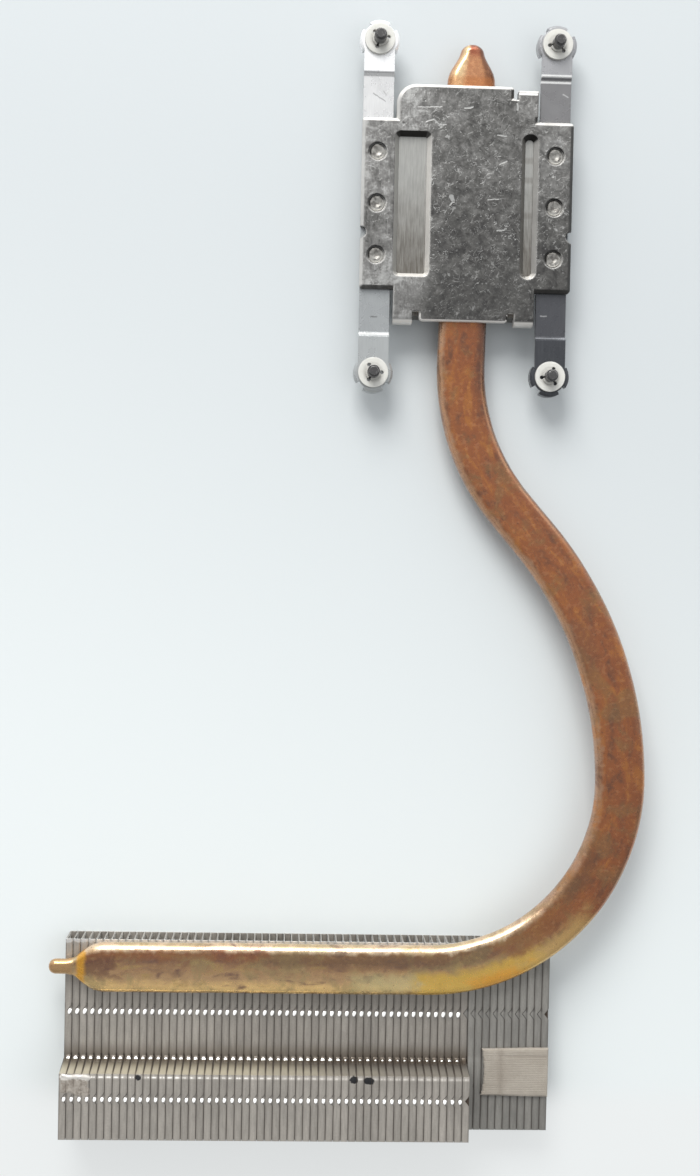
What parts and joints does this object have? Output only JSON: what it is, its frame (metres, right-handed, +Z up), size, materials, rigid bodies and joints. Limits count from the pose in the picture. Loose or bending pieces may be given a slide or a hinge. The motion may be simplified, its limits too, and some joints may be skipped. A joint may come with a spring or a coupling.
{
  "type": "laptop heatsink",
  "caption": "Laptop processor cooler: flattened heat pipe from a sprung contact plate with captive screws to a stack of folded fins.",
  "frame": {"origin": "centre of the bounding box, on the surface that the cooler lies on", "axes": "+X along the row of fins to the right, +Y from the fins to the contact plate, +Z up, the way that the contact plate faces"},
  "size_m": [0.0978, 0.1834, 0.0108],
  "materials": {
    "fin_aluminium": "dull rolled sheet with dusty seams",
    "pipe_copper": null,
    "plate_metal": "dark mottled grey, scratched, bright rolled edges",
    "saddle_aluminium": "brushed",
    "spring_steel": "smooth rolled stainless strip",
    "rivet_metal": "bright, worn",
    "screw_black": "black, semi-gloss",
    "washer_nylon": "translucent white nylon",
    "pad_fabric": "matt woven cover on thin foam"
  },
  "bodies": {
    "root": {"tall_fins": "fin_aluminium", "short_fins": "fin_aluminium", "heat_pipe": "pipe_copper", "base_plate": "plate_metal", "pipe_saddle": "saddle_aluminium", "left_spring": "spring_steel", "right_spring": "spring_steel", "rivet_left_rear": "rivet_metal", "rivet_left_middle": "rivet_metal", "rivet_left_front": "rivet_metal", "rivet_right_rear": "rivet_metal", "rivet_right_middle": "rivet_metal", "rivet_right_front": "rivet_metal", "screw_left_rear": "screw_black", "screw_right_rear": "screw_black", "screw_left_front": "screw_black", "screw_right_front": "screw_black", "washer_left_rear": "washer_nylon", "washer_right_rear": "washer_nylon", "washer_left_front": "washer_nylon", "washer_right_front": "washer_nylon", "foam_pad": "pad_fabric"}
  },
  "joints": []
}
